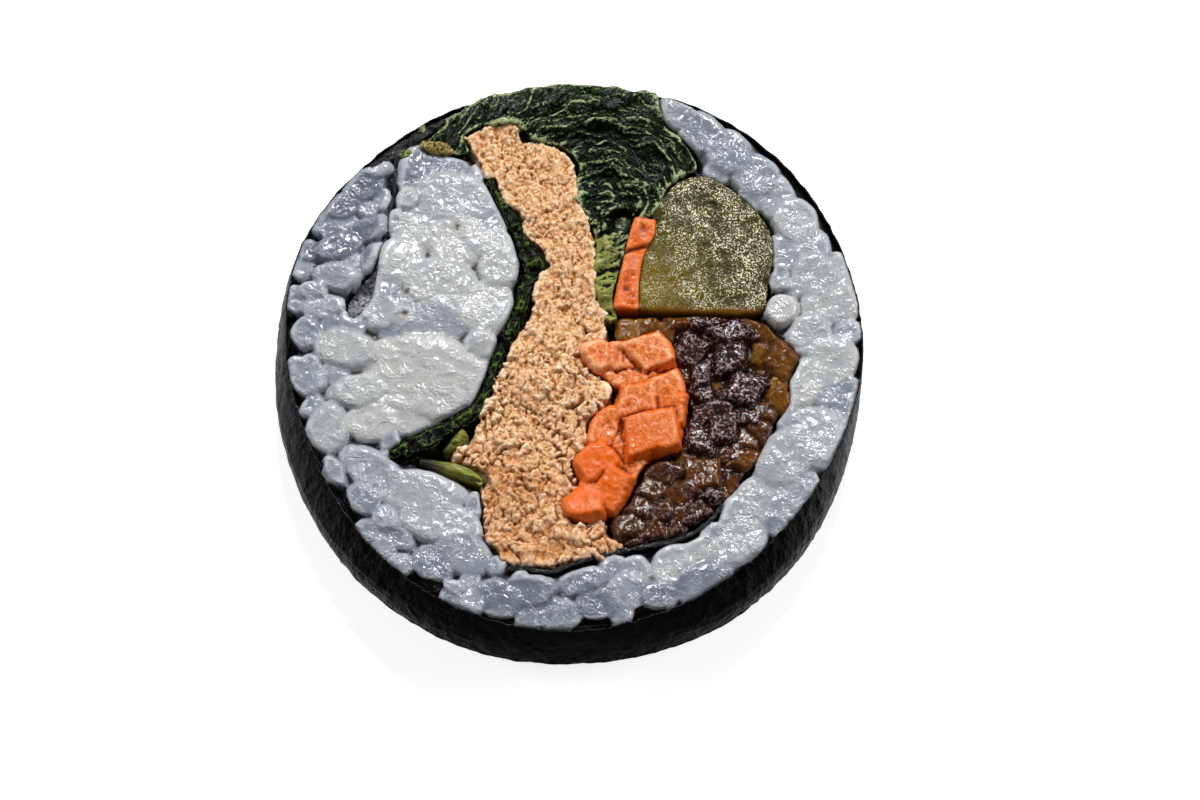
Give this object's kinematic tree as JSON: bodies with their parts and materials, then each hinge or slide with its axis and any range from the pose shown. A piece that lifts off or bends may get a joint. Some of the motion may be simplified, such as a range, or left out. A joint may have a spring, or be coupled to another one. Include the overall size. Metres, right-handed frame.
{
  "type": "seaweed rice roll slice",
  "caption": "Round slice of a seaweed-wrapped rice roll lying on its cut face, with flaked tuna mayonnaise, spinach, pickle, carrot, braised burdock and a perilla leaf.",
  "frame": {"origin": "centre of the bounding box at the resting cut face", "axes": "+Z along the roll's axis, up through the slice; +X to the right of the cut face with the spinach at its far side; +Y towards the spinach"},
  "size_m": [0.0522, 0.052, 0.0106],
  "materials": {
    "seaweed": "dark roasted seaweed sheet, satin with a fine crinkle",
    "seaweed_inner": "damp seaweed sheet inside the roll",
    "rice": "cooked short-grain rice, moist and translucent",
    "tuna": "flaked tuna in a spicy mayonnaise, fibrous and slightly oily",
    "spinach": "blanched spinach, wet, in tight folds",
    "pickle": "olive-green pickle, wet cut face with a fine grain",
    "carrot": "cooked carrot strips, cut across",
    "burdock": "braised burdock, dark and glazed with amber edges",
    "perilla": "dark green leaf seen on edge",
    "stem": "yellow-green leaf stem"
  },
  "bodies": {
    "root": {"nori_wrap": "seaweed", "nori_inner_end": "seaweed_inner", "nori_liner": "seaweed_inner", "rice": "rice", "tuna_mayo": "tuna", "spinach": "spinach", "pickle": "pickle", "carrot_stick": "carrot", "carrots": "carrot", "burdock": "burdock", "perilla_leaf": "perilla", "stem_upper": "stem", "stem_lower": "stem"}
  },
  "joints": []
}
